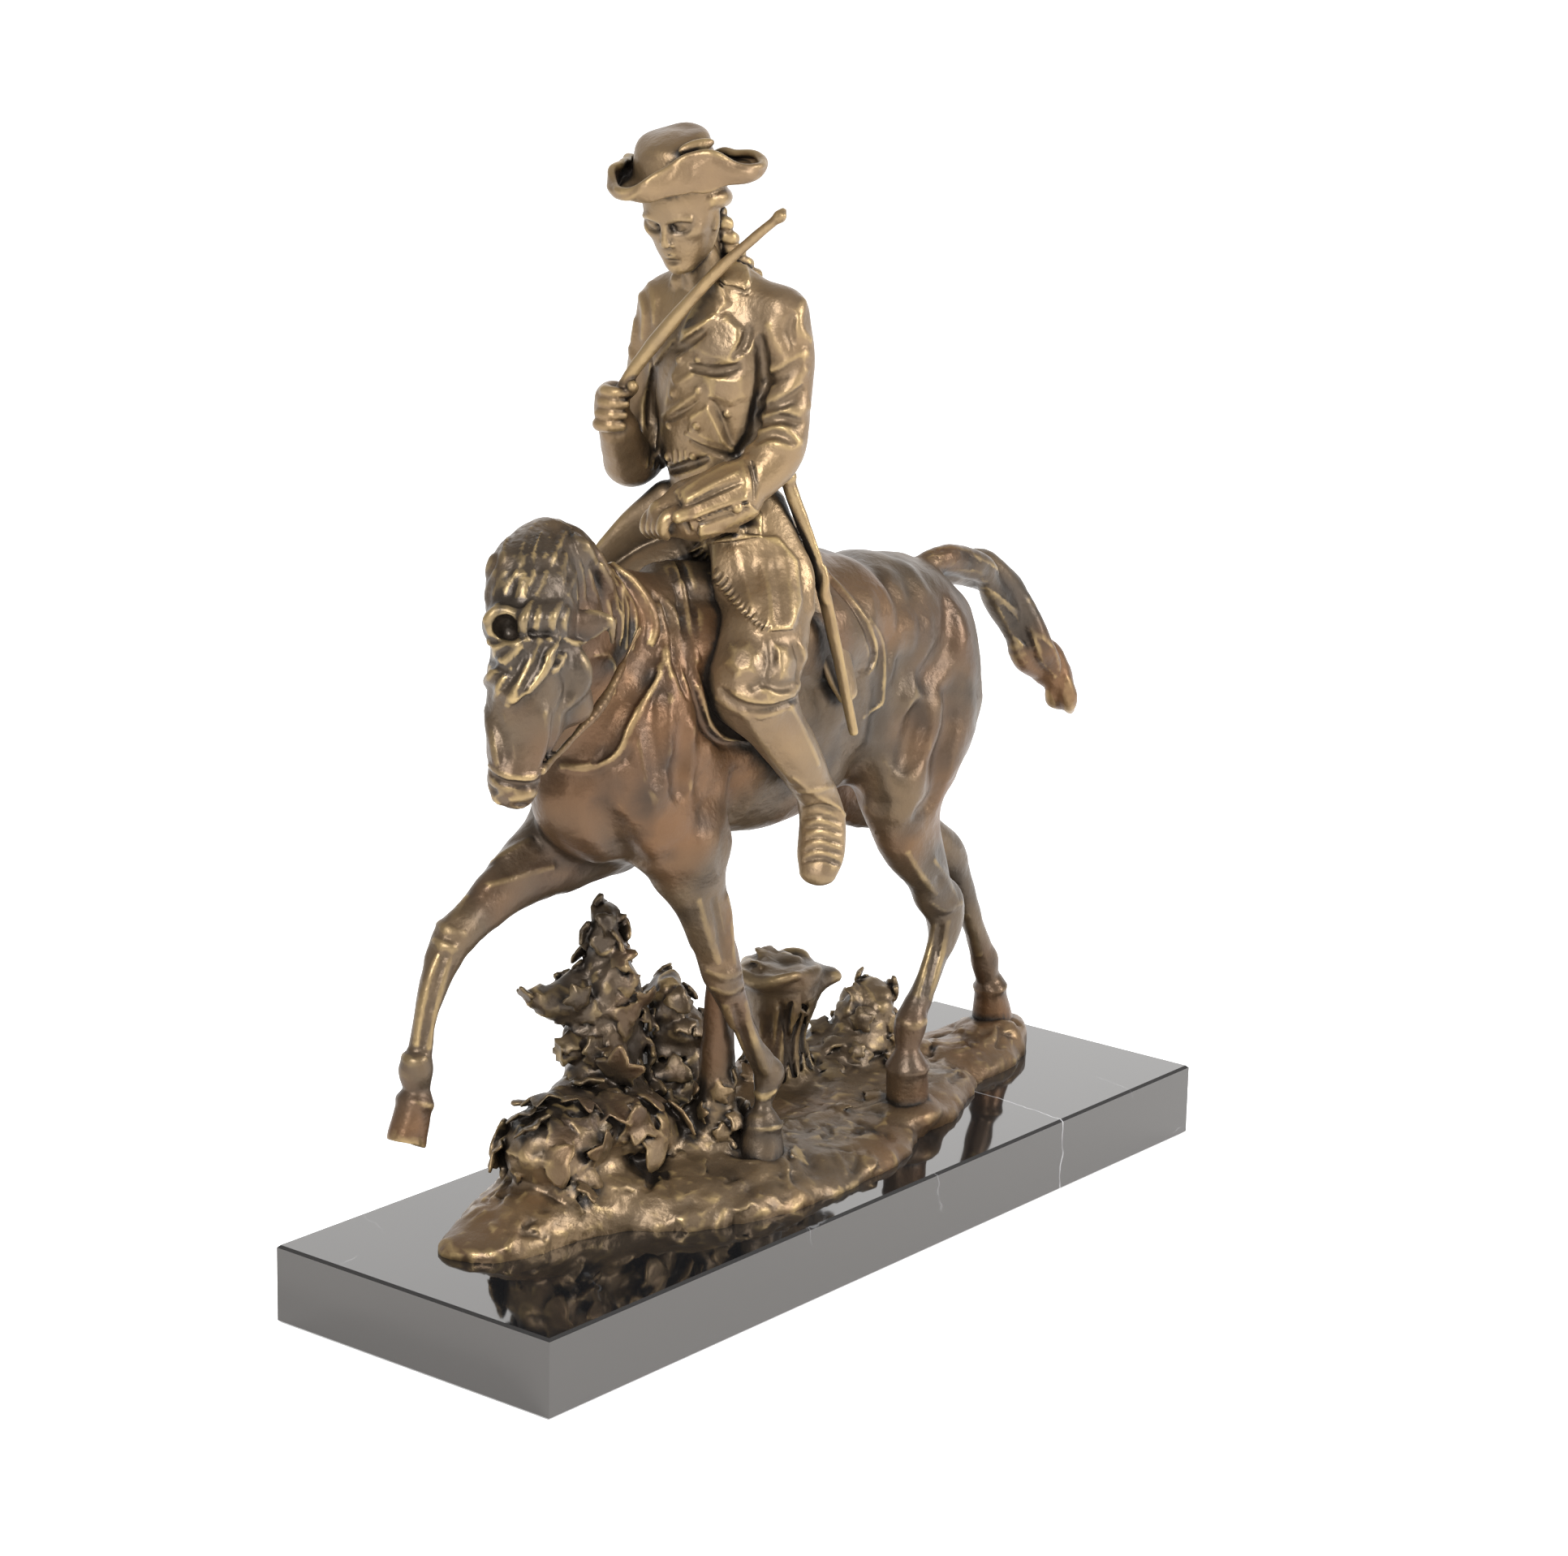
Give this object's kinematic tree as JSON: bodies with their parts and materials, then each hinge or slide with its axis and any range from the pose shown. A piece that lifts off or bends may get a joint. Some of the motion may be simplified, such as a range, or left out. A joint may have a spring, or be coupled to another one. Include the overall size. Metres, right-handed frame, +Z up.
{
  "type": "equestrian statuette",
  "caption": "Patinated bronze rider in a tricorn hat on a walking horse, cast with its rocky ground, standing on a polished black marble plinth.",
  "frame": {"origin": "centre of the plinth's underside", "axes": "+Z up, the horse walks towards -X, its near (left) side faces -Y"},
  "size_m": [0.3971, 0.1326, 0.43],
  "materials": {
    "bronze": "cast bronze with a warm dark brown patina, rubbed golden on edges and high spots, waxed satin",
    "marble": "polished black marble with a few thin white veins"
  },
  "bodies": {
    "root": {"marble_plinth": "marble", "bronze_horse_and_rider": "bronze"}
  },
  "joints": []
}
